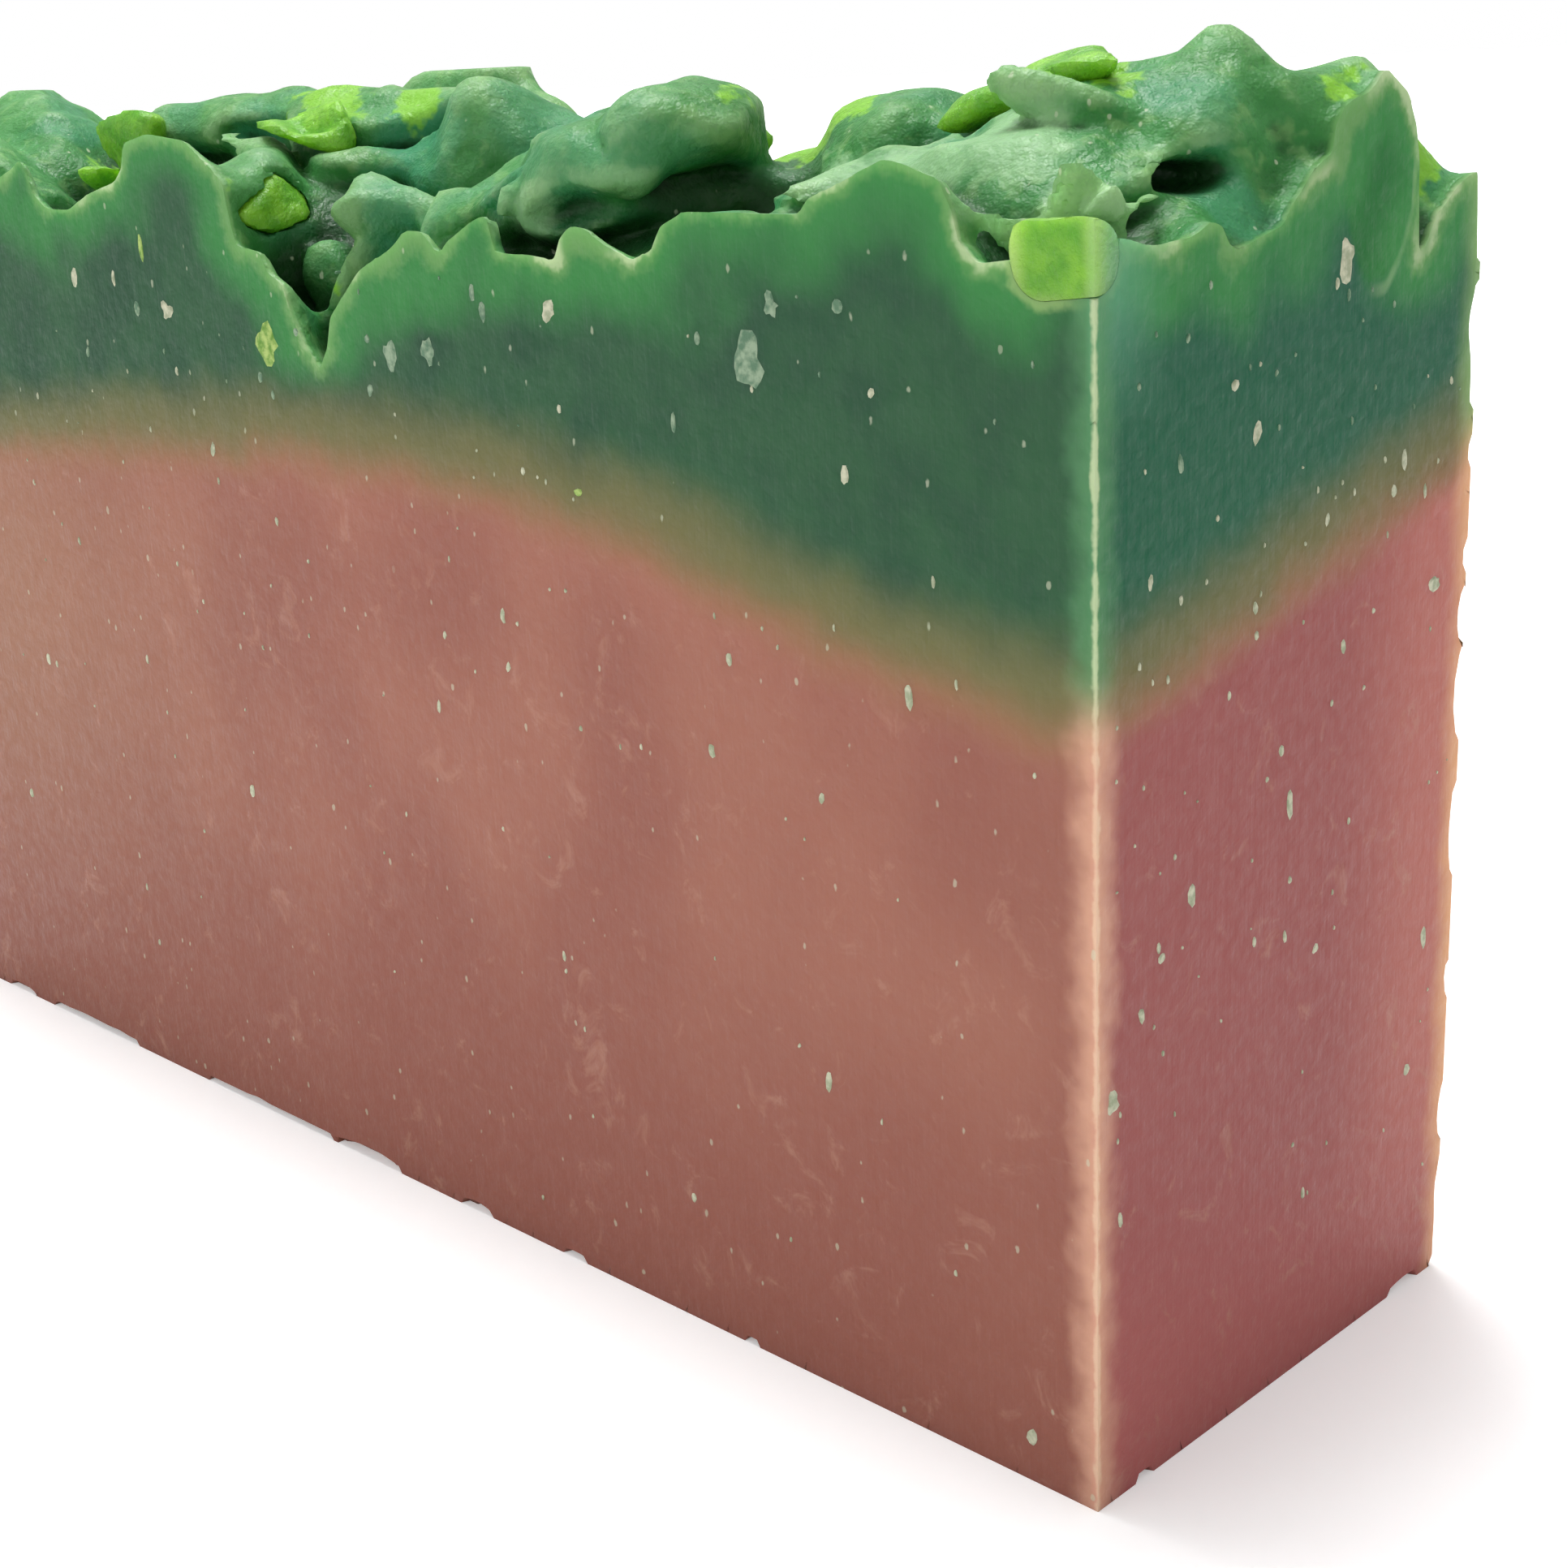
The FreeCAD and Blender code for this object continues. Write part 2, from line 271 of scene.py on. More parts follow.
# %% Turning a field into a closed skin of quads
def skin(field, grid, planes, soft):
    """Points and quads of the zero surface, and the cell of each point; planes are (axis, place) pairs."""
    inside = field < 0
    shape = tuple(size - 1 for size in field.shape)
    total = np.zeros(shape + (3,), np.float32)
    hits = np.zeros(shape, np.float32)
    quads = []
    for axis in range(3):
        low = [slice(None)] * 3
        high = [slice(None)] * 3
        low[axis], high[axis] = slice(None, -1), slice(1, None)
        a, b = field[tuple(low)], field[tuple(high)]
        crossed = np.argwhere((a < 0) != (b < 0))
        fa, fb = a[tuple(crossed.T)], b[tuple(crossed.T)]
        share = fa / (fa - fb)
        place = np.stack([grid[k][crossed[:, k]] for k in range(3)], 1)
        ends = grid[axis][crossed[:, axis]], grid[axis][crossed[:, axis] + 1]
        place[:, axis] = ends[0] + share * (ends[1] - ends[0])
        u, v = (axis + 1) % 3, (axis + 2) % 3
        inner = np.ones(len(crossed), bool)
        for side in (u, v):
            inner &= (crossed[:, side] > 0) & (crossed[:, side] < shape[side])
        crossed, place, flip = crossed[inner], place[inner], fa[inner] > 0
        corners = []
        for du, dv in ((-1, -1), (0, -1), (0, 0), (-1, 0)):
            cell = crossed.copy()
            cell[:, u] += du
            cell[:, v] += dv
            np.add.at(total, tuple(cell.T), place)
            np.add.at(hits, tuple(cell.T), 1)
            corners.append(np.ravel_multi_index(cell.T, shape))
        quad = np.stack(corners, 1)
        quad[flip] = quad[flip][:, ::-1]
        quads.append(quad)
    cells = np.argwhere(hits > 0)
    points = total[tuple(cells.T)] / hits[tuple(cells.T)][:, None]
    number = np.full(np.prod(shape), -1)
    number[np.ravel_multi_index(cells.T, shape)] = np.arange(len(cells))
    free = np.ones((len(points), 3), np.float32)
    for axis, place in planes:
        on = (grid[axis][cells[:, axis]] < place) & (grid[axis][cells[:, axis] + 1] >= place)
        points[on, axis] = place
        free[on, axis] = 0
    snap_to(points, cells, free, soft, grid)
    quads = number[np.concatenate(quads)]
    kept = main_part(quads, len(points))
    renumbered = np.cumsum(kept) - 1
    return points[kept], renumbered[quads[kept[quads[:, 0]]]], cells[kept], free[kept]


def main_part(quads, count):
    """The points of the largest joined part: each takes its quads' lowest label until none changes."""
    label = np.arange(count)
    while True:
        spread = label.copy()
        np.minimum.at(spread, quads.ravel(), np.repeat(label[quads].min(1), 4))
        spread = spread[spread]
        if (spread == label).all():
            return label == np.bincount(label).argmax()
        label = spread


def corner_values(values, cells):
    """The eight corner values of each cell, as an array of cells by 2 by 2 by 2."""
    corner = [values[cells[:, 0] + i, cells[:, 1] + j, cells[:, 2] + k]
              for i in (0, 1) for j in (0, 1) for k in (0, 1)]
    return np.stack(corner, 1).reshape(-1, 2, 2, 2)


def snap_to(points, cells, free, soft, grid):
    """Moves points on a knife plane along it to where the soft field is zero, within their own cell."""
    edge = (free.min(1) == 0)
    values = corner_values(soft, cells)
    edge &= (values.min((1, 2, 3)) < 0) & (values.max((1, 2, 3)) > 0)
    picked = np.flatnonzero(edge)
    v, c = values[picked], cells[picked]
    low = np.stack([grid[k][c[:, k]] for k in range(3)], 1)
    size = np.stack([grid[k][c[:, k] + 1] for k in range(3)], 1) - low
    for _ in range(3):
        t = np.clip((points[picked] - low) / size, 0, 1)
        tx, ty = (t[:, k][:, None, None] for k in range(2))
        across = v[:, 0] * (1 - tx) + v[:, 1] * tx
        row = across[:, 0] * (1 - ty[:, 0]) + across[:, 1] * ty[:, 0]
        here = row[:, 0] * (1 - t[:, 2]) + row[:, 1] * t[:, 2]
        slope = np.stack([(v[:, 1] - v[:, 0]).mean((1, 2)), (v[:, :, 1] - v[:, :, 0]).mean((1, 2)),
                          (v[:, :, :, 1] - v[:, :, :, 0]).mean((1, 2))], 1) / size * free[picked]
        step = here[:, None] * slope / (np.sum(slope ** 2, 1)[:, None] + 1e-6)
        points[picked] = np.clip(points[picked] - step, low - 0.2 * size, low + 1.2 * size)


def at_points(values, points, cells):
    """A field read at each point, by trilinear mixing of the eight corners of its cell."""
    low = np.stack([grid[k][cells[:, k]] for k in range(3)], 1)
    size = np.stack([grid[k][cells[:, k] + 1] for k in range(3)], 1) - low
    t = np.clip((points - low) / size, 0, 1)
    v = corner_values(values, cells)
    for k in range(3):
        share = t[:, k].reshape((-1,) + (1,) * (2 - k))
        v = v[:, 0] * (1 - share) + v[:, 1] * share
    return v


# %% Meshes from arrays
def make_mesh(name, points, quads, free, body="root", sharp=45):
    """A mesh object from millimetre points and quads; faces on a knife plane are shaded flat and crisp."""
    mesh = bpy.data.meshes.new(name)
    mesh.vertices.add(len(points))
    mesh.vertices.foreach_set("co", (points * 0.001).astype(np.float32).ravel())
    mesh.loops.add(quads.size)
    mesh.loops.foreach_set("vertex_index", quads.astype(np.int32).ravel())
    mesh.polygons.add(len(quads))
    mesh.polygons.foreach_set("loop_start", np.arange(0, quads.size, quads.shape[1], dtype=np.int32))
    mesh.update(calc_edges=True)
    mesh.validate()
    mesh.set_sharp_from_angle(angle=math.radians(sharp))
    mesh.polygons.foreach_set("use_smooth", ~(free[quads] == 0).all(1).any(1))
    piece = bpy.data.objects.new(name, mesh)
    bpy.context.collection.objects.link(piece)
    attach(piece, body)
    return piece


def merge_flat(mesh, top):
    """Joins the faces of each knife plane that lie below top (metres) into one large flat face."""
    shape = bmesh.new()
    shape.from_mesh(mesh)
    for axis in range(3):
        for sign in (-1, 1):
            flat = [face for face in shape.faces if not face.smooth and face.normal[axis] * sign > 0.999
                    and max(corner.co.z for corner in face.verts) < top]
            among = set(flat)
            inner = [face for face in flat
                     if all(other in among for corner in face.verts for other in corner.link_faces)]
            if inner:
                bmesh.ops.dissolve_faces(shape, faces=inner, use_verts=False)
    for face in shape.faces:
        face.smooth = face.smooth and len(face.verts) < 9
    shape.to_mesh(mesh)
    shape.free()


def give(piece, name, values):
    """Stores one number per point on the mesh for its material to read."""
    layer = piece.data.attributes.new(name, "FLOAT", "POINT")
    layer.data.foreach_set("value", values.astype(np.float32))


# %% The grid of the bar: fine at the crest and at the near corner
def graded(start, stop, first, last):
    """Grid lines from start to stop, whose spacing grows or shrinks evenly from first to last."""
    count = max(2, int(round(2 * abs(stop - start) / (first + last))))
    steps = np.linspace(first, last, count)
    return start + (stop - start) * np.concatenate([[0], np.cumsum(steps) / steps.sum()])


INSET = 0.06 * MM
half_x, half_y = LENGTH / 2 - INSET, THICK / 2 - INSET
COARSE = 1.0
lines_x = graded(-LENGTH / 2 - 1, LENGTH / 2 + 0.6, 0.50 * COARSE, 0.203 * COARSE)
lines_y = graded(-THICK / 2 - 0.6, THICK / 2 + 0.8, 0.257 * COARSE, 0.37 * COARSE)
lines_z = np.concatenate([graded(-1.0, 3.0 * MM, 0.3, 0.5)[:-1], graded(3.0 * MM, 41.0 * MM, 0.8, 0.6)[:-1],
                          graded(41.0 * MM, 57.2 * MM, 0.26 * COARSE, 0.28 * COARSE)])
grid = [lines.astype(np.float32) for lines in (lines_x, lines_y, lines_z)]
print("grid", [len(lines) for lines in grid])

# %% Slumped space: where each grid point would lie before the soap was dragged
X, Y, Z = np.meshgrid(*grid, indexing="ij")
drag = [(7.5, 1.1), (3.4, 0.7), (1.6, 0.22)]
space = []
for axis, part in enumerate((X, Y, Z)):
    moved = part.copy()
    for number, (cell, size) in enumerate(drag):
        moved += size * MM * random_field(grid, cell * MM, 11 + 7 * axis + number)
    space.append(moved)

# %% The heap of dollops
heap = space[2] - (BED + 0.6 * MM * random_field(grid, 5.0 * MM, 61))
for number, values in enumerate(DOLLOPS.values()):
    add_oval(heap, values, 0.7 * MM, 300 + number)
for number, values in enumerate(LIPS.values()):
    add_oval(heap, values, 0.3 * MM, 400 + number)
for values in HOLLOWS.values():
    part = reached(values, 6.0 * MM)
    heap[part] = -weld(-heap[part], oval([way[part] for way in space], *values), 0.5 * MM)

# %% Small torn scraps strewn over the heap, each a thin tilted shard half sunk in the surface
rng = np.random.default_rng(5)
for number in range(90):
    i, j = rng.integers(0, len(grid[0])), rng.integers(0, len(grid[1]))
    height = grid[2][np.flatnonzero(heap[i, j] < 0).max()]
    long, wide, deep = rng.uniform(1.0, 2.6), rng.uniform(0.7, 1.6), rng.uniform(0.4, 0.9)
    if height < 51.5 * MM:
        middle = (grid[0][i] / LENGTH, grid[1][j] / THICK, (height - 0.5 * deep * MM) / HIGH)
        shard = (*middle, long, wide, deep, *rng.uniform(-1, 1, 3) * (90, 30, 30))
        add_oval(heap, shard, 0.25 * MM, 500 + number)

# %% Creases, then the pull to the cut outlines
heap += MM * (0.85 * np.abs(random_field(grid, 4.0 * MM, 71)) - 0.25)
heap += MM * (0.30 * np.abs(random_field(grid, 1.8 * MM, 72)) - 0.08)
front_pull = np.exp(-((grid[1] + half_y) / (1.5 * MM)) ** 2)[None, :, None]
end_pull = np.exp(-((half_x - grid[0]) / (1.3 * MM)) ** 2)[:, None, None]
front_cut = outline_field(grid[0], grid[2], FRONT_OUTLINE)[:, None, :]
end_cut = outline_field(grid[1], grid[2], END_OUTLINE)[None, :, :]
heap = heap * (1 - front_pull) + front_cut * front_pull
heap = heap * (1 - end_pull) + end_cut * end_pull
heap += 0.08 * MM * random_field(grid, 0.85 * MM, 81)
CREST_TOP = 55.3 * MM
heap = np.maximum(heap, Z - CREST_TOP)
print("heap field ready")

# %% Chunk fields and their pockets
crumple = 0.38 * MM * random_field(grid, 1.2 * MM, 91)
PROUD = {"left": 2.2, "crown": 0.9, "middle": 0.15, "valley": 0.5, "ridge": 2.6}
chunk_fields = {}
for number, (name, values) in enumerate(CHUNKS.items()):
    proud = PROUD[name.removeprefix("lime_chunk_")] * MM
    lump = oval((X, Y, Z), *values, seed=710 + number, blunt=0.6) + crumple
    chunk_fields[name] = np.maximum(lump, heap - proud)
ROUND = 1.15 * MM
corner_size = np.array((3.5, 1.3, 2.6)) * MM
CORNER_LOW = 46.7 * MM
corner_middle = np.array((half_x, -half_y, CORNER_LOW + corner_size[2] / 2))
leaning = (X + 0.25 * (Z - 47.5 * MM), Y, Z - 0.1 * (X - half_x) + 0.5 * crumple)
from_corner = [np.abs(part - middle) - size
               for part, middle, size in zip(leaning, corner_middle, corner_size * (1, 1, 0.5) - ROUND)]
outer = np.sqrt(sum(np.maximum(part, 0) ** 2 for part in from_corner))
inner = np.minimum(np.maximum.reduce(from_corner), 0)
chunk_fields["lime_chunk_corner"] = outer + inner - ROUND + 0.5 * crumple
soft = heap.copy()
for chunk_field in chunk_fields.values():
    soft = np.maximum(soft, -chunk_field + 0.02)

# %% Nibbled cut edges: a thread of wavering radius is taken off along each edge of the block
def nibble(first, second, radius):
    """Positive within radius of the edge where the two given gaps from the block's faces are both zero."""
    return radius - np.sqrt(first ** 2 + second ** 2)


gap_near, gap_back, gap_end = Y + half_y, half_y - Y, half_x - X
waver = np.abs(random_field(grid, 1.7 * MM, 95))
ripple = random_field(grid, 5.0 * MM, 96)
edges = [nibble(gap_end, gap_back, (0.75 * waver + 0.1) * MM),
         nibble(gap_end, gap_near, (0.16 * waver + 0.02) * MM),
         nibble(gap_near, Z, (0.5 * waver + 0.25 * np.abs(ripple)) * MM),
         nibble(gap_end, Z, (0.4 * waver + 0.1) * MM)]
LIFTED = np.array([(-42, 0), (-31, 0.45), (-23, 0.3), (-14, 0.35), (-5, 0.35), (-1, 0),
                   (17, 0), (23, 0.2), (28, 0.35), (31, 0)])
lift = np.interp(grid[0] / MM, *LIFTED.T)
edges.append(lift[:, None, None] * MM * np.exp(-(gap_near / (3 * MM)) ** 2) - Z)
soft = np.maximum.reduce([soft] + edges)

# %% The block, its skin and what its material needs to know
blocks = [np.abs(X) - half_x, np.abs(Y) - half_y, np.abs(Z - 30 * MM) - 30 * MM]
knife = np.maximum.reduce(blocks)
planes = [(0, -half_x), (0, half_x), (1, -half_y), (1, half_y), (2, 0.0)]
points, quads, cells, free = skin(np.maximum(knife, soft), grid, planes, soft)
bar = make_mesh("soap_bar", points, quads, free)
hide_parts("pink_base", "green_top")
print("bar skin", len(points), "points", len(quads), "quads")

give(bar, "cut", 1.0 - free.min(1))
give(bar, "depth", np.clip(-at_points(heap, points, cells) / MM, 0, 9))
chunk_gap = np.minimum.reduce([at_points(values, points, cells) for values in chunk_fields.values()])
give(bar, "chunk_gap", chunk_gap / MM)


def hollow_share(field, reach):
    """How much of the space round each grid point is filled: the inside, box-averaged twice per axis."""
    filled = np.clip(0.5 - field / (1.0 * MM), 0, 1).astype(np.float32)
    for axis in (0, 1, 2, 0, 1, 2):
        summed = np.cumsum(filled, axis)
        here = np.arange(summed.shape[axis])
        lead = np.take(summed, np.minimum(here + reach, here[-1]), axis)
        lag = np.take(summed, np.maximum(here - reach - 1, 0), axis)
        filled = (lead - lag) / (2 * reach + 1)
    return filled


# How filled the space round each point is, close by and about three millimetres round; the crest's colour
# paints shade in the hollows and a highlight on open places and ridges from these.
give(bar, "filled", at_points(hollow_share(heap, 3), points, cells))
give(bar, "deep", at_points(hollow_share(heap, 8), points, cells))

# Where other soap smeared into the green: place and size in millimetres, drawn out along one way.
LIME_SPOTS = [(-9.8, -9.0, 48.1, 1.5), (-39.0, -9.0, 52.0, 1.0), (-10.4, -3.0, 54.0, 2.4),
              (-4.0, -2.0, 54.2, 1.3), (15.0, -5.0, 53.0, 1.1), (21.8, -5.0, 53.2, 0.9),
              (22.0, -1.0, 51.6, 1.3), (24.0, 0.0, 52.2, 1.2), (33.5, -2.0, 52.6, 1.0),
              (36.0, -2.0, 53.0, 1.1), (39.6, -2.4, 53.6, 1.1), (44.8, 4.0, 52.4, 1.2),
              (45.0, 10.5, 49.4, 1.2), (1.4, -12.4, 46.2, 0.9), (-27.0, -7.5, 52.6, 2.0)]
TEAL_SPOTS = [(0.7, -7.4, 49.3, 2.6), (-4.0, -1.5, 51.0, 3.4), (-16.0, -4.0, 53.0, 2.0),
              (12.0, -4.4, 53.0, 3.0)]
PALE_SPOTS = [(30.5, -8.0, 50.4, 2.4), (34.5, -7.6, 51.2, 2.6), (38.5, -7.0, 51.8, 2.6),
              (43.5, -10.0, 48.6, 2.2), (-43.0, -9.0, 51.0, 3.0), (15.5, -11.0, 49.0, 1.6)]
away = np.array((-0.68, 0.68, -0.28))


def smeared(spots):
    """How near each point of the bar is to a spot: 1 in its middle, 0 at its edge and below 0 outside."""
    nearness = np.full(len(points), -1.0)
    for *centre, size in spots:
        offset = points / MM - centre
        along = offset @ away
        across = np.linalg.norm(offset - along[:, None] * away, axis=1)
        nearness = np.maximum(nearness, 1 - np.sqrt(across ** 2 + (along / 4) ** 2) / size)
    return nearness


give(bar, "lime", smeared(LIME_SPOTS))
give(bar, "teal", smeared(TEAL_SPOTS))
give(bar, "pale", smeared(PALE_SPOTS))
FLAT_BELOW = 40.5 * MM
merge_flat(bar.data, 0.001 * FLAT_BELOW)
bar.data.calc_loop_triangles()
print("bar after merging its flat faces:", len(bar.data.loop_triangles), "triangles")

# %% Chunk skins
chunk_pieces = []
for name, values in chunk_fields.items():
    inside = np.argwhere(values < 0.5)
    window = tuple(slice(max(0, low - 2), high + 3) for low, high in zip(inside.min(0), inside.max(0)))
    part_grid = [lines[cut] for lines, cut in zip(grid, window)]
    part_field = values[window]
    part_skin = skin(np.maximum(part_field, knife[window]), part_grid, planes, part_field)
    piece = make_mesh(name + "_look", part_skin[0], part_skin[1], part_skin[3])
    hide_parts(name)
    give(piece, "cut", 1.0 - part_skin[3].min(1))
    rim = np.full(len(part_skin[0]), 2.0)
    if name == "lime_chunk_corner":
        outer_gap = np.abs(part_skin[0] - part_skin[0].mean(0)).max(1)
        rim = np.clip(outer_gap.max() - outer_gap, 0, 2) / MM
    give(piece, "rim", rim)
    chunk_pieces.append(piece)
    print(name, len(part_skin[1]), "quads")


# %% [markdown]
# ## Flakes and specks on the cut faces
#
# The knife dragged through scraps of pale and lime soap, and left them standing a hair proud of the cut.
# Each is a thin closed scrap with a ragged outline, half sunk, whose top stays inside the bar's box.

# %% Scraps of soap on the cut faces
FLAKES = {
    "lime": [("front", -2.9, 42.8, 1.7, 1.8), ("front", 19.7, 37.7, 0.6, 0.35),
             ("front", -13.3, 47.2, 0.5, 1.6)],
    "pale": [("front", -11.5, 44.1, 0.9, 0.8), ("front", 18.7, 45.2, 1.0, 0.9),
             ("front", 36.7, 42.9, 0.35, 0.4), ("end", 2.7, 46.8, 1.1, 1.6),
             ("end", 10.2, 32.8, 0.8, 0.6), ("end", -4.7, 42.8, 0.6, 0.4),
             ("front", 43.7, 2.0, 0.5, 0.65), ("end", -10.2, 20.1, 0.4, 0.65),
             ("end", -12.0, 17.2, 0.8, 1.2), ("end", 6.8, 37.2, 0.4, 0.5), ("end", -11.5, 12.1, 0.4, 0.8),
             ("front", -16.4, 45.6, 0.3, 0.9)],
    "grey": [("front", 30.4, 43.9, 1.5, 2.1), ("front", 7.2, 42.7, 0.9, 1.2),
             ("front", 10.1, 43.2, 0.9, 1.15), ("front", 5.6, 43.5, 0.4, 0.5),
             ("front", 35.2, 46.0, 0.5, 0.6), ("front", 13.6, 45.8, 0.3, 0.8),
             ("front", 14.2, 45.0, 0.5, 0.9), ("front", 31.8, 45.9, 0.8, 0.9)],
}
rng = np.random.default_rng(17)
for _ in range(240):
    face = ("front", "front", "end")[rng.integers(3)]
    across = rng.uniform(-44, 45.5) if face == "front" else rng.uniform(-12, 12)
    size = 0.12 + 0.36 * rng.random() ** 4
    up = 46.0 * rng.random() ** 0.6 + 0.5
    kind = "grey" if up > 40 and rng.random() < 0.6 else "pale"
    FLAKES[kind].append((face, across, up, size, size * rng.uniform(1.0, 2.4)))


def scrap(face, across, up, wide, tall):
    """Points and faces of one scrap: three rings of radius 0.5 * (1 + noise), and two ends."""
    count = 16 if wide > 0.6 else 9
    angle = np.linspace(0, 2 * np.pi, count, endpoint=False)
    wobble = 1 + 0.55 * np.convolve(rng.uniform(-1, 1, count + 2), (0.25, 0.6, 0.25), "valid")
    rings = [(wobble * share, out) for share, out in ((0.8, -0.25), (1.0, 0.0), (0.72, 0.042))]
    points = []
    for radius, out in rings:
        a = across + 0.5 * wide * radius * np.cos(angle)
        b = up + 0.5 * tall * radius * np.sin(angle)
        depth = np.full(count, out)
        on_front = (a * MM, -half_y - depth * MM, b * MM)
        on_end = (half_x + depth * MM, a * MM, b * MM)
        points.append(np.stack(on_front if face == "front" else on_end, 1))
    faces = [tuple(range(count))[::-1], tuple(range(2 * count, 3 * count))]
    for ring in range(2):
        for k in range(count):
            n = (k + 1) % count
            low, high = ring * count, (ring + 1) * count
            faces.append((low + k, low + n, high + n, high + k))
    return np.concatenate(points), faces


flake_pieces = {}
for kind, rows in FLAKES.items():
    all_points, all_faces, start = [], [], 0
    for row in rows:
        part_points, part_faces = scrap(*row)
        all_points.append(part_points)
        all_faces += [tuple(index + start for index in face) for face in part_faces]
        start += len(part_points)
    mesh = bpy.data.meshes.new(kind + "_scraps")
    mesh.from_pydata((np.concatenate(all_points) * 0.001).tolist(), [], all_faces)
    mesh.validate()
    flake_pieces[kind] = bpy.data.objects.new(kind + "_scraps", mesh)
    bpy.context.collection.objects.link(flake_pieces[kind])
    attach(flake_pieces[kind], "root")
    print(kind, "scraps", len(rows))

# %% [markdown]
# ## Waxy soap
#
# Soap scatters light a little way below its skin, so thin lips glow; the glow of the corners and of the cut
# faces under the crest is also painted into the colour.
# The colour follows the pour: pink, a tan and olive band where the dyes met, then teal and green.
# On the crest, ridges get a painted highlight of pale sage and hollows painted shade of deep green to near
# black; on the cut faces pale bits show.
# All of it reads object coordinates and the numbers stored on the mesh.

# %% Node helpers
def linear(red, green, blue):
    """A colour from 0 to 255 as the linear values that a shader needs: the sRGB curve taken off."""
    parts = [value / 255 for value in (red, green, blue)]
    return tuple(v / 12.92 if v <= 0.04045 else ((v + 0.055) / 1.055) ** 2.4 for v in parts) + (1,)


class Tree:
    """A short hand for one material's nodes: every method adds a node and returns its output."""

    def __init__(self, name):
        self.material = bpy.data.materials.new(name)
        self.material.use_nodes = True
        self.nodes = self.material.node_tree.nodes
        self.links = self.material.node_tree.links
        self.shader = self.nodes["Principled BSDF"]

    def put(self, socket, value):
        if isinstance(value, bpy.types.NodeSocket):
            self.links.new(value, socket)
        else:
            socket.default_value = value

    def coords(self, scale=(1, 1, 1)):
        """Object coordinates in millimetres, stretched by a scale per axis."""
        source = self.nodes.new("ShaderNodeTexCoord").outputs["Object"]
        node = self.nodes.new("ShaderNodeVectorMath")
        node.operation = "MULTIPLY"
        self.put(node.inputs[0], source)
        node.inputs[1].default_value = [1000 * part for part in scale]
        return node.outputs[0]

    def axis(self, vector, which):
        node = self.nodes.new("ShaderNodeSeparateXYZ")
        self.put(node.inputs[0], vector)
        return node.outputs[which]

    def reach(self, a, a_place, b, b_place):
        """Distance from the line where a and b have the given places, both in millimetres."""
        sides = [self.math("SUBTRACT", part, where) for part, where in ((a, a_place), (b, b_place))]
        squares = [self.math("MULTIPLY", side, side) for side in sides]
        return self.math("SQRT", self.math("ADD", *squares))

    def stored(self, name):
        node = self.nodes.new("ShaderNodeAttribute")
        node.attribute_name = name
        return node.outputs["Fac"]

    def noise(self, vector, size, detail=3.0, rough=0.55, distort=0.0):
        """Noise whose lumps are about size millimetres across."""
        node = self.nodes.new("ShaderNodeTexNoise")
        self.put(node.inputs["Vector"], vector)
        node.inputs["Scale"].default_value = 1.0 / size
        node.inputs["Detail"].default_value = detail
        node.inputs["Roughness"].default_value = rough
        node.inputs["Distortion"].default_value = distort
        return node.outputs[0]

    def cells(self, vector, size, output="Distance"):
        """Cell noise of about size millimetres: distance to the middle of the cell, or its colour."""
        node = self.nodes.new("ShaderNodeTexVoronoi")
        self.put(node.inputs["Vector"], vector)
        node.inputs["Scale"].default_value = 1.0 / size
        return node.outputs[output]

    def curve(self, value, low, high, points):
        """A smooth curve through (place, height) points, read at value; low and high bound the heights."""
        node = self.nodes.new("ShaderNodeFloatCurve")
        first, last = points[0][0], points[-1][0]
        line = node.mapping.curves[0]
        spots = [((place - first) / (last - first), (height - low) / (high - low))
                 for place, height in points]
        line.points[0].location, line.points[1].location = spots[0], spots[-1]
        for spot in spots[1:-1]:
            line.points.new(*spot)
        node.mapping.update()
        share = self.math("DIVIDE", self.math("SUBTRACT", value, first), last - first)
        self.put(node.inputs["Value"], share)
        return self.math("MULTIPLY_ADD", node.outputs[0], high - low, low)

    def math(self, operation, a, b=0.0, c=0.0):
        node = self.nodes.new("ShaderNodeMath")
        node.operation = operation
        for socket, value in zip(node.inputs, (a, b, c)):
            self.put(socket, value)
        return node.outputs[0]

    def times(self, a, b):
        return self.math("MULTIPLY", a, b)

    def stir(self, value, noise, swing):
        """A value made ragged by a noise of 0 to 1: value + (noise - 0.5) * swing."""
        return self.math("MULTIPLY_ADD", self.math("SUBTRACT", noise, 0.5), swing, value)

    def ramp(self, value, low, high, start=0.0, end=1.0):
        """A smooth step of value from low to high, mapped from start to end."""
        node = self.nodes.new("ShaderNodeMapRange")
        node.interpolation_type = "SMOOTHSTEP"
        for name, part in (("Value", value), ("From Min", low), ("From Max", high),
                           ("To Min", start), ("To Max", end)):
            self.put(node.inputs[name], part)
        return node.outputs[0]

    def mix(self, share, a, b):
        """Colour a turning into colour b as share grows; each is a socket or three numbers up to 255."""
        node = self.nodes.new("ShaderNodeMix")
        node.data_type = "RGBA"
        self.put(node.inputs["Factor"], share)
        for name, colour in (("A", a), ("B", b)):
            self.put(node.inputs[name], linear(*colour) if isinstance(colour, tuple) else colour)
        return node.outputs["Result"]

    def bump(self, height, distance, strength=1.0, under=None):
        node = self.nodes.new("ShaderNodeBump")
        node.inputs["Strength"].default_value = strength
        node.inputs["Distance"].default_value = distance * 0.001
        self.put(node.inputs["Height"], height)
        if under is not None:
            self.links.new(under, node.inputs["Normal"])
        return node.outputs[0]

    def scatter(self, weight, reach):
        """Light that sinks in and comes out again within reach, in millimetres of red, green and blue."""
        self.shader.subsurface_method = "BURLEY"
        self.put(self.shader.inputs["Subsurface Weight"], weight)
        self.put(self.shader.inputs["Subsurface Radius"], reach)
        self.put(self.shader.inputs["Subsurface Scale"], 0.001)


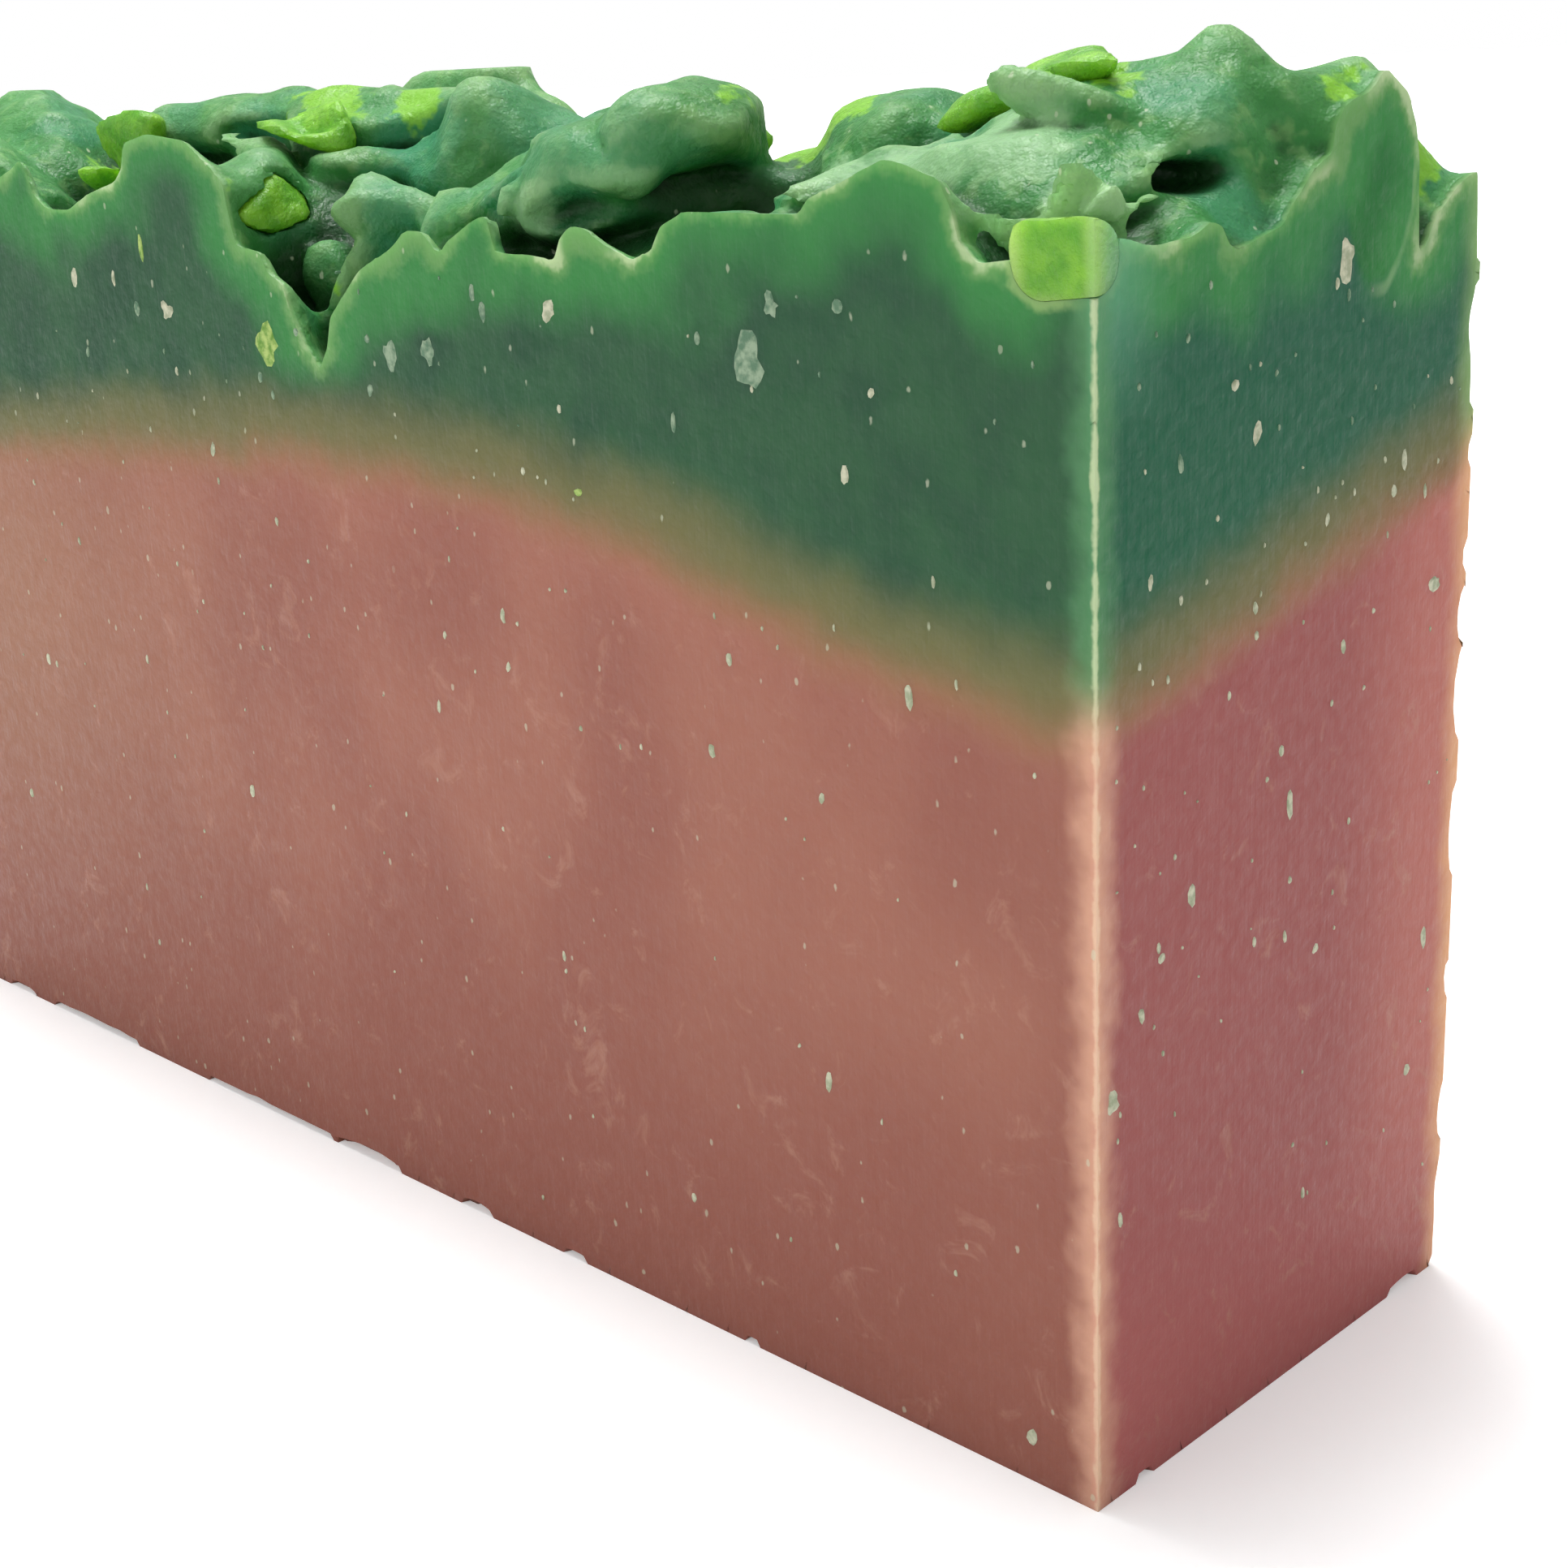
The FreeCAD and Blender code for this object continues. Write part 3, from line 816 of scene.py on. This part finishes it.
# %% The line between the pours, as (x, z) on the front and on the back face
POUR_FRONT = [(-47, 36.4), (-31, 37.4), (-17, 38.5), (-5.4, 39.1), (4.8, 39.3), (13.8, 38.8),
              (24.3, 37.3), (33.4, 34.9), (41.5, 33.5), (47, 32.9)]
POUR_BACK = [(-47, 37.2), (-34, 36.5), (-15, 38.0), (4, 39.7), (21, 39.4), (36, 38.6), (47, 39.3)]


# %% What the colours of the bar depend on
def read_bar(tree):
    """Places, stored numbers, noises and distances from the two cut corners, gathered under plain names."""
    at = SimpleNamespace(place=tree.coords())
    at.x, at.y, at.z = (tree.axis(at.place, k) for k in range(3))
    for name in ("cut", "depth", "filled", "deep", "chunk_gap", "lime", "teal", "pale"):
        setattr(at, name, tree.stored(name))
    front_level, back_level = (tree.curve(at.x, 30.0, 41.0, line) for line in (POUR_FRONT, POUR_BACK))
    share = tree.math("MULTIPLY_ADD", at.y, 1 / THICK, 0.5)
    back_part = tree.times(tree.math("SUBTRACT", back_level, front_level), share)
    at.pour = tree.math("SUBTRACT", tree.math("SUBTRACT", at.z, front_level), back_part)
    at.patch = tree.noise(at.place, 6.0, 1.0)
    at.cloud = tree.noise(at.place, 3.5, 2.0)
    at.mottle = tree.noise(at.place, 1.1, 2.0, 0.6)
    at.grain = tree.noise(at.place, 0.6, 2.0)
    at.near_edge, at.far_edge = (tree.reach(at.x, LENGTH / 2, at.y, side * THICK / 2) for side in (-1, 1))
    at.end_side = tree.ramp(at.x, LENGTH / 2 - 0.5, LENGTH / 2 - 0.2)
    return at


# %% The two pours: pink below, green above, and the band where the dyes met
def pour_colours(tree, at):
    """Pink, then tan, olive and green, mixed by the height above the line between the pours."""
    # The front face is dusty pink, with painted light making its far end paler and painted shade darkening
    # it towards the bottom; the end face is mauve, with a painted glow towards its thin far edge, and warmer
    # and lighter towards the bottom.
    broad = tree.noise(tree.coords((1, 1, 0.8)), 12.0, 1.0)
    pink = tree.mix(tree.ramp(broad, 0.3, 0.7), (164, 106, 88), (150, 92, 78))
    # Painted light: the front face paler towards its far end.
    pink = tree.mix(tree.ramp(at.x, 5.0, -46.0), pink, (160, 114, 90))
    # Painted shade: the front face darker towards the bottom.
    pink = tree.mix(tree.ramp(at.z, 27.0, 4.0, 0.0, 0.85), pink, (143, 84, 70))
    # Painted glow: the end face lighter and warmer towards its thin far edge, where light shines through.
    end_pink = tree.mix(tree.ramp(at.far_edge, 11.0, 1.0), (157, 84, 81), (186, 109, 98))
    end_pink = tree.mix(tree.ramp(at.z, 14.0, 0.0, 0.0, 0.9), end_pink, (178, 98, 94))
    pink = tree.mix(at.end_side, pink, end_pink)
    scuff = tree.noise(at.place, 2.4, 4.0, 0.7, 0.8)
    pink = tree.mix(tree.ramp(scuff, 0.56, 0.74, 0.0, 0.4), pink, (188, 140, 120))

    green = tree.mix(tree.ramp(at.cloud, 0.35, 0.7), (40, 87, 54), (32, 77, 50))
    green = tree.mix(at.end_side, green, (20, 92, 63))

    wander = tree.stir(at.pour, at.cloud, 1.8)
    at.wander = tree.math("SUBTRACT", wander, tree.math("MULTIPLY_ADD", at.end_side, 0.4, 0.3))
    body = tree.mix(tree.ramp(at.wander, -4.0, -1.8), pink, (154, 108, 78))
    body = tree.mix(tree.ramp(at.wander, -3.0, -0.4), body, (112, 108, 66))
    return tree.mix(tree.ramp(at.wander, -1.0, 2.6), body, green)


def fin_colours(tree, at, body):
    """The lump at the end that the knife cut apart: greener, with a pale seam round its lower side."""
    fin = tree.reach(tree.times(tree.math("SUBTRACT", at.y, 4.9), 1.6), 0.0, at.z, 49.7)
    fin = tree.stir(fin, at.cloud, 1.2)
    body = tree.mix(tree.times(tree.ramp(fin, 4.4, 3.6, 0.0, 0.8), at.end_side), body, (12, 108, 32))
    seam = tree.ramp(tree.math("ABSOLUTE", tree.math("SUBTRACT", fin, 4.3)), 0.35, 0.05)
    seam = tree.times(tree.times(seam, at.end_side), tree.ramp(at.y, 4.0, 6.5))
    return tree.mix(tree.times(seam, tree.ramp(at.z, 43.0, 46.0)), body, (170, 190, 150))


# %% The cut faces: a ragged painted glow and pale fringe under the crest, a painted glow at the near corner and at the thin far one
def rim_colours(tree, at, body):
    """Painted glow near the crest: a lighter green and a ragged pale fringe at its edge, where light shines
    through thin soap; and a seam round each chunk.
    """
    ragged = tree.stir(tree.stir(at.depth, at.patch, 6.0), at.cloud, 1.6)
    # Painted glow: a lighter green where the cut face lies close under the crest.
    crest_glow = tree.times(tree.ramp(ragged, 4.2, 0.6, 0.0, 0.85), tree.ramp(at.wander, 0.5, 3.5))
    lit = tree.mix(crest_glow, body, (56, 138, 66))
    fine_rag = tree.stir(tree.stir(at.depth, at.grain, 0.9), at.patch, 2.4)
    # Painted glow: paler still, just under the crest's edge.
    lit = tree.mix(tree.ramp(fine_rag, 0.9, 0.1, 0.0, 0.55), lit, (124, 168, 98))
    # Painted glow: a pale fringe along the crest's edge, in ragged stretches.
    fringe = tree.times(tree.ramp(fine_rag, 0.35, -0.1), tree.ramp(at.cloud, 0.46, 0.62, 0.0, 0.7))
    lit = tree.mix(fringe, lit, (186, 204, 158))
    seam = tree.ramp(tree.stir(at.chunk_gap, at.grain, 0.5), 0.5, 0.1)
    seam = tree.times(seam, tree.ramp(at.cloud, 0.4, 0.6, 0.15, 0.7))
    return tree.mix(seam, lit, (150, 185, 110))


def corner_glow_colours(tree, at, lit):
    """Painted glow: the corner towards the viewer glows, with a pale line along its edge; the thin far
    corner glows peach.
    """
    upper = tree.ramp(at.pour, -2.0, 1.0)
    # Painted glow: a mint green on the end face close to the near corner, high up.
    minty_glow = tree.times(tree.ramp(at.near_edge, 5.0, 0.5, 0.0, 0.6), tree.ramp(at.z, 41.0, 47.5))
    lit = tree.mix(tree.times(minty_glow, at.end_side), lit, (108, 178, 138))
    waver = tree.noise(at.place, 1.6, 2.0)
    # Painted glow: the near corner, peach in the pink and green above it.
    glow = tree.ramp(tree.stir(at.near_edge, waver, 1.5), 1.7, 0.2, 0.0, 0.72)
    lit = tree.mix(glow, lit, tree.mix(upper, (226, 172, 144), (88, 146, 96)))
    # Painted glow: a thin pale line right along the near corner's edge.
    edge_glow_line = tree.stir(tree.stir(at.near_edge, at.grain, 0.3), waver, 0.35)
    edge_glow_line = tree.ramp(edge_glow_line, 0.30, 0.12, 0.0, 0.85)
    lit = tree.mix(edge_glow_line, lit, tree.mix(upper, (226, 190, 160), (190, 206, 160)))
    # Painted glow: the thin far corner, peach in the pink and pale green above it.
    thin = tree.ramp(tree.stir(at.far_edge, at.cloud, 1.6), 2.0, 0.1, 0.0, 0.8)
    return tree.mix(thin, lit, tree.mix(upper, (232, 176, 130), (140, 176, 110)))


# %% The crest: green, a painted highlight on ridges, painted shade near black in the crevices, with teal and lime runs
def crest_colours(tree, at):
    """Greens by noise, then painted shade and a painted highlight by how hollow the place is, then the
    smears of other soap.
    """
    top = tree.mix(tree.ramp(at.cloud, 0.35, 0.65), (46, 118, 52), (72, 140, 76))
    top = tree.mix(tree.ramp(at.mottle, 0.52, 0.68, 0.0, 0.3), top, (140, 180, 112))
    top = tree.mix(tree.ramp(at.patch, 0.52, 0.62, 0.0, 0.65), top, (50, 128, 88))
    for smear, colour in ((at.teal, (44, 130, 92)), (at.pale, (142, 184, 134))):
        smear = tree.stir(tree.stir(smear, at.cloud, 1.6), at.mottle, 1.0)
        top = tree.mix(tree.ramp(smear, -0.1, 0.5, 0.0, 0.75), top, colour)
    # Painted highlight: paler where the crest is open.
    top = tree.mix(tree.ramp(at.deep, 0.46, 0.32, 0.0, 0.15), top, (128, 176, 108))
    # Painted shade: near black deep in the crest's hollows.
    top = tree.mix(tree.ramp(at.deep, 0.50, 0.66, 0.0, 0.9), top, (14, 58, 16))
    crisp = tree.stir(at.filled, at.grain, 0.14)
    # Painted shade: near black in the small hollows.
    top = tree.mix(tree.ramp(crisp, 0.56, 0.70, 0.0, 0.8), top, (12, 50, 14))
    # Painted highlight: pale sage on the ridges.
    top = tree.mix(tree.ramp(crisp, 0.43, 0.30, 0.0, 0.35), top, (160, 196, 138))
    smear = tree.stir(tree.stir(at.lime, at.cloud, 1.6), at.mottle, 2.2)
    return tree.mix(tree.ramp(smear, -0.1, 0.35, 0.0, 0.85), top, (126, 186, 44))


# %% The waxy surface and the whole material
def waxy_surface(tree, at):
    """Knife strokes on the cuts, fine grain, lumps on the crest, and light that sinks in a little way."""
    strokes = tree.noise(tree.coords((4.0, 4.0, 0.18)), 1.0, 2.0)
    fine = tree.bump(at.grain, 0.07, 1.0, tree.bump(tree.times(strokes, at.cut), 0.03))
    lumpy = tree.times(tree.noise(at.place, 1.6, 4.0, 0.65), tree.math("MULTIPLY_ADD", at.cut, -0.75, 1.0))
    tree.put(tree.shader.inputs["Normal"], tree.bump(lumpy, 0.34, 1.0, fine))
    tree.put(tree.shader.inputs["Roughness"], tree.ramp(at.grain, 0.3, 0.7, 0.42, 0.6))
    tree.scatter(0.55, (0.7, 0.8, 0.5))
    tree.put(tree.shader.inputs["IOR"], 1.45)
    tree.put(tree.shader.inputs["Specular IOR Level"], 0.35)


def soap_material():
    """Cut colours where the knife went, crest colours elsewhere, and pale specks over both."""
    tree = Tree("two pours of soap")
    at = read_bar(tree)
    body = fin_colours(tree, at, pour_colours(tree, at))
    lit = corner_glow_colours(tree, at, rim_colours(tree, at, body))
    on_cut = tree.math("MAXIMUM", at.cut, tree.ramp(at.z, 43.0, 41.0))
    base = tree.mix(on_cut, crest_colours(tree, at), lit)
    # Pale specks, sparse and ragged: the middle of some cells of a cell noise.
    bits = tree.coords((1.0, 1.0, 0.6))
    middle = tree.math("MULTIPLY_ADD", tree.math("SUBTRACT", at.grain, 0.5), -0.35, tree.cells(bits, 0.9))
    chosen = tree.ramp(tree.axis(tree.cells(bits, 0.9, "Color"), 0), 0.60, 0.64)
    speck = tree.times(tree.ramp(middle, 0.12, 0.06), chosen)
    base = tree.mix(tree.times(speck, 0.45), base, (206, 212, 184))
    tree.put(tree.shader.inputs["Base Color"], base)
    waxy_surface(tree, at)
    return tree.material


# %% The lime chunks
def lime_material():
    """Two limes by noise, a pale rim on the cut corner chunk, and a bluer side at the end face."""
    tree = Tree("lime soap")
    place = tree.coords()
    x, y = (tree.axis(place, k) for k in range(2))
    cloud = tree.noise(place, 1.6, 3.0)
    base = tree.mix(tree.ramp(cloud, 0.3, 0.7), (84, 156, 24), (128, 190, 44))
    rim = tree.ramp(tree.stir(tree.stored("rim"), cloud, 0.8), 0.9, 0.1, 0.0, 0.75)
    base = tree.mix(rim, base, (176, 212, 110))
    end_side = tree.times(tree.ramp(x, LENGTH / 2 - 0.5, LENGTH / 2 - 0.2), tree.stored("cut"))
    end_side = tree.times(end_side, tree.ramp(y, -THICK / 2, -THICK / 2 + 1.2, 0.3, 0.9))
    base = tree.mix(end_side, base, (104, 168, 112))
    tree.put(tree.shader.inputs["Base Color"], base)
    tree.put(tree.shader.inputs["Normal"], tree.bump(tree.noise(place, 0.7, 4.0, 0.6), 0.3))
    tree.put(tree.shader.inputs["Roughness"], 0.45)
    tree.scatter(0.6, (1.0, 1.2, 0.3))
    return tree.material


bar.data.materials.append(soap_material())
lime = lime_material()


def scrap_material(name, light, dark):
    tree = Tree(name)
    cloud = tree.noise(tree.coords(), 0.5, 3.0)
    tree.put(tree.shader.inputs["Base Color"], tree.mix(tree.ramp(cloud, 0.35, 0.65), dark, light))
    tree.put(tree.shader.inputs["Normal"], tree.bump(cloud, 0.08))
    tree.put(tree.shader.inputs["Roughness"], 0.6)
    return tree.material


SCRAP_COLOURS = {"lime": ((176, 200, 110), (96, 146, 40)),
                 "pale": ((206, 206, 178), (156, 164, 132)),
                 "grey": ((148, 170, 140), (84, 122, 92))}
for kind, piece in flake_pieces.items():
    piece.data.materials.append(scrap_material(kind + " scrap of soap", *SCRAP_COLOURS[kind]))
for piece in chunk_pieces:
    piece.data.materials.append(lime)
print(len(bar.data.materials[0].node_tree.nodes), "nodes in the soap")

# %% [markdown]
# ## Stage, light and camera
#
# The photo was taken close up on a white ground under broad, soft light.
# The camera's place was worked out from the bar's own edges, so it sits only a few bar widths away.

# %% White ground and soft light
bpy.ops.mesh.primitive_plane_add(size=60.0, location=(0, 0, 0))
ground = bpy.context.object
ground.name = "ground"
paper = Tree("white paper")
paper.put(paper.shader.inputs["Base Color"], (0.9, 0.9, 0.9, 1))
paper.put(paper.shader.inputs["Roughness"], 0.9)
seen_by_camera = paper.nodes.new("ShaderNodeLightPath").outputs["Is Camera Ray"]
paper.shader.inputs["Emission Color"].default_value = (1, 1, 1, 1)
spot = paper.coords()
from_bar = paper.reach(paper.axis(spot, 0), 0.0, paper.axis(spot, 1), 0.0)
paper.put(paper.shader.inputs["Emission Strength"],
          paper.math("MULTIPLY", seen_by_camera, paper.ramp(from_bar, 120.0, 300.0, 0.30, 1.0)))
ground.data.materials.append(paper.material)

world = bpy.data.worlds.new("white room")
bpy.context.scene.world = world
world.use_nodes = True
sky = world.node_tree.nodes["Background"]
sky.inputs["Color"].default_value = (1, 1, 1, 1)
sky.inputs["Strength"].default_value = 0.56
seen = world.node_tree.nodes.new("ShaderNodeBackground")
seen.inputs["Color"].default_value = (1, 1, 1, 1)
path = world.node_tree.nodes.new("ShaderNodeLightPath")
choose = world.node_tree.nodes.new("ShaderNodeMixShader")
world.node_tree.links.new(path.outputs["Is Camera Ray"], choose.inputs[0])
world.node_tree.links.new(sky.outputs[0], choose.inputs[1])
world.node_tree.links.new(seen.outputs[0], choose.inputs[2])
world.node_tree.links.new(choose.outputs[0], world.node_tree.nodes["World Output"].inputs["Surface"])


def soft_light(name, place, size, power, target=(0.0, 0.0, 0.03)):
    lamp = bpy.data.lights.new(name, "AREA")
    lamp.size = size
    lamp.energy = power
    lamp_object = bpy.data.objects.new(name, lamp)
    bpy.context.collection.objects.link(lamp_object)
    lamp_object.location = place
    aim = Vector(target) - Vector(place)
    lamp_object.rotation_euler = aim.to_track_quat("-Z", "Y").to_euler()
    return lamp_object


soft_light("overhead", (-0.12, 0.06, 0.62), 0.26, 4.2)
soft_light("window", (-0.25, -0.75, 0.35), 0.6, 1.2)

# %% The camera, from the solved view
camera_data = bpy.data.cameras.new("camera")
camera = bpy.data.objects.new("camera", camera_data)
bpy.context.collection.objects.link(camera)
bpy.context.scene.camera = camera
FOCAL_PIXELS, PHOTO_WIDE = 2829.0, 1932.0
camera_data.sensor_width = 36.0
camera_data.lens = 36.0 * FOCAL_PIXELS / PHOTO_WIDE
camera_data.clip_start = 0.005
yaw, pitch, roll = (math.radians(angle) for angle in (-45.2, 17.1, -2.56))
forward = Vector((math.sin(yaw) * math.cos(pitch), math.cos(yaw) * math.cos(pitch), -math.sin(pitch)))
right = Vector((math.cos(yaw), -math.sin(yaw), 0.0))
up = right.cross(forward)
right_rolled = math.cos(roll) * right + math.sin(roll) * up
up_rolled = right_rolled.cross(forward)
facing = Matrix((right_rolled, up_rolled, -forward)).transposed().to_4x4()
camera.matrix_world = Matrix.Translation(Vector((0.0940, -0.0752, 0.0541))) @ facing

# %% Finish
scene = bpy.context.scene
scene.view_settings.view_transform = "Standard"
# Few bounces, and less work where a pixel has settled, keep a final render under five minutes.
scene.cycles.max_bounces = 5
scene.cycles.diffuse_bounces = 2
scene.cycles.adaptive_threshold = 0.05
scene.cycles.adaptive_min_samples = 12
